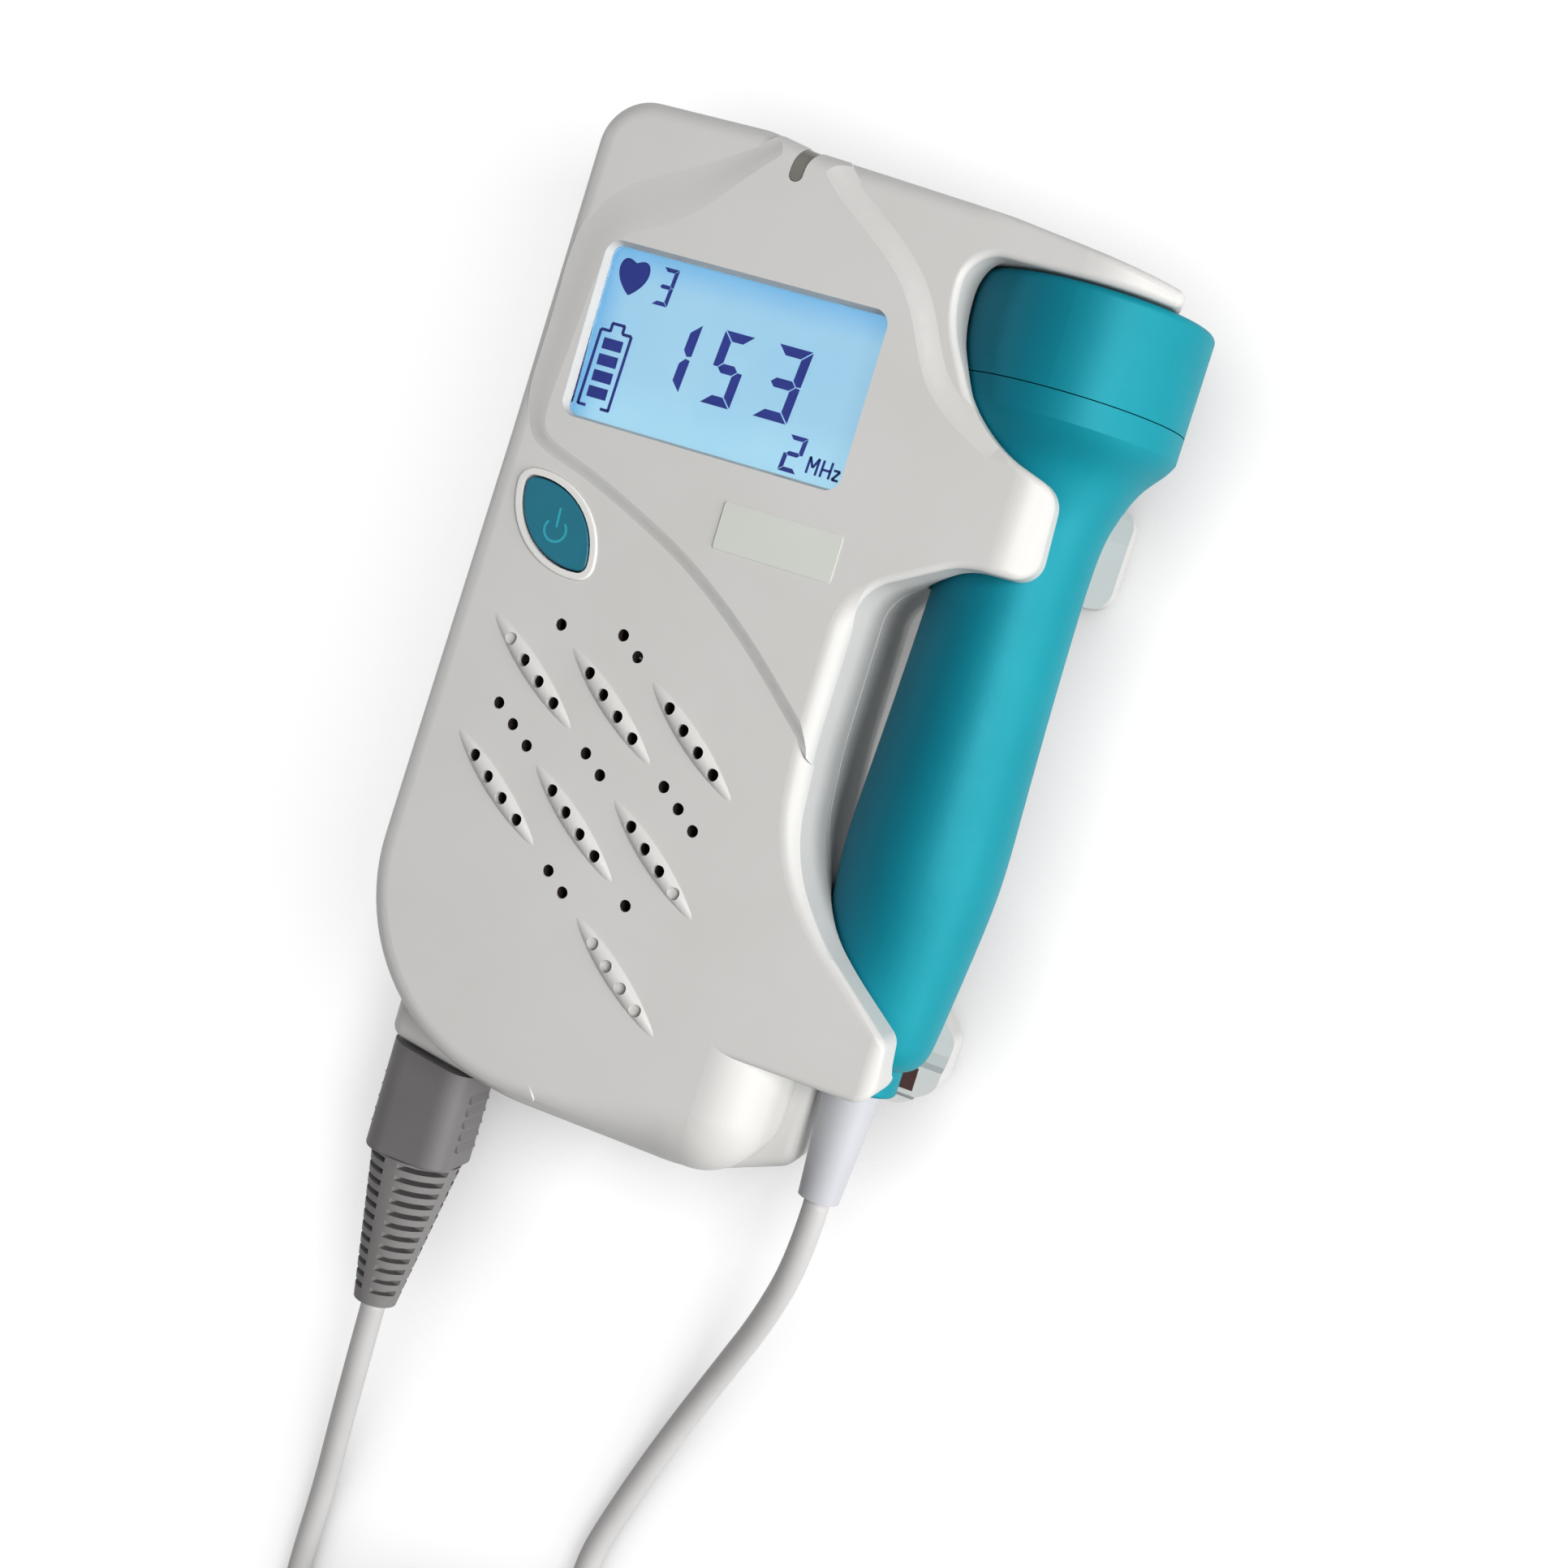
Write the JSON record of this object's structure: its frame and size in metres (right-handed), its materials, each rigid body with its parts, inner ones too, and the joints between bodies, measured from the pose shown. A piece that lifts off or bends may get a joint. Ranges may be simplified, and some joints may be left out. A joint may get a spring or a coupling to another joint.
{
  "type": "fetal doppler monitor",
  "caption": "Handheld fetal heart doppler lying on its back: case with screen, speaker grille and power key, and a teal probe in a side holder on a lead with a round plug.",
  "frame": {"origin": "middle of the case's flat back face, which it lies on", "axes": "+X towards the probe side, +Y towards the top end, +Z out of the front face"},
  "size_m": [0.0885, 0.2842, 0.0352],
  "materials": {
    "case_plastic": "fine-textured warm light grey ABS",
    "button_plastic": "satin teal",
    "probe_plastic": "glossy teal ABS",
    "rim_plastic": "white ABS ring",
    "face_plastic": "smooth pale lens plastic",
    "window": "clear acrylic",
    "display": "pale blue liquid-crystal glass",
    "backlight": "milky light guide",
    "inner_plastic": "black moulded plastic",
    "board": "green laminate",
    "chips": "black epoxy",
    "steel": "plated steel",
    "magnet": "ferrite",
    "paper": "coated paper",
    "cloth": "thin black gauze",
    "lens": "smoky light pipe",
    "label": "satin vinyl",
    "cell_jacket": "printed-free metal jacket",
    "contact_metal": "nickel plate",
    "brass": "gold-flashed brass",
    "ceramic": "piezo ceramic",
    "rubber_dark": "dark brown rubber",
    "rubber_grey": "grey PVC",
    "plug_plastic": "dark grey plastic",
    "sleeve_plastic": "pale grey PVC",
    "tie_strap": "black hook-and-loop strap"
  },
  "bodies": {
    "root": {"front_case": "case_plastic", "rear_case": "case_plastic", "case_screws": "steel", "screen_window": "window", "lcd_frame": "inner_plastic", "lcd_panel": "display", "lcd_backlight": "backlight", "main_board": "board", "board_chips": "chips", "speaker_frame": "steel", "speaker_cone": "paper", "speaker_magnet": "magnet", "grille_cloth": "cloth", "power_switch": "inner_plastic", "volume_pot": "inner_plastic", "earphone_jack": "inner_plastic", "indicator_lens": "lens", "indicator_led": "backlight", "label_plate": "label", "rear_label": "label", "contact_springs": "contact_metal", "contact_plates": "contact_metal", "battery_1": "cell_jacket", "battery_2": "cell_jacket", "tail_pad": "rubber_dark", "probe_socket": "inner_plastic", "cord_coil": "rubber_grey", "coil_tie": "tie_strap", "button_rim": "rim_plastic"},
    "probe": {"probe_handle": "probe_plastic", "probe_cap": "probe_plastic", "acoustic_face": "face_plastic", "crystals": "ceramic", "crystal_backing": "inner_plastic", "probe_seal": "rubber_dark", "probe_board": "board", "probe_tail": "probe_plastic", "cable_sleeve": "sleeve_plastic", "probe_cord": "rubber_grey"},
    "plug": {"plug_shell": "plug_plastic", "plug_sleeve": "steel", "plug_pins": "brass", "plug_boot": "rubber_grey", "plug_cord": "rubber_grey"},
    "battery_door": {"battery_door": "case_plastic"},
    "power_button": {"power_button": "button_plastic"},
    "volume_wheel": {"volume_wheel": "inner_plastic"}
  },
  "joints": [
    {"name": "probe_slide", "type": "slide", "parent": "root", "child": "probe", "axis": [1, 0, 0], "range_m": [0, 0.06]},
    {"name": "plug_slide", "type": "slide", "parent": "root", "child": "plug", "axis": [0, -1, 0], "range_m": [0, 0.012]},
    {"name": "door_slide", "type": "slide", "parent": "root", "child": "battery_door", "axis": [0, -1, 0], "range_m": [0, 0.045]},
    {"name": "button_press", "type": "slide", "parent": "root", "child": "power_button", "axis": [0, 0, -1], "range_m": [0, 0.0008], "stiffness_N_per_m": 400},
    {"name": "volume_turn", "type": "hinge", "parent": "root", "child": "volume_wheel", "pos_m": [-0.012, 0.0616, 0.01], "axis": [0, 0, 1], "range_deg": [-135, 135]}
  ]
}
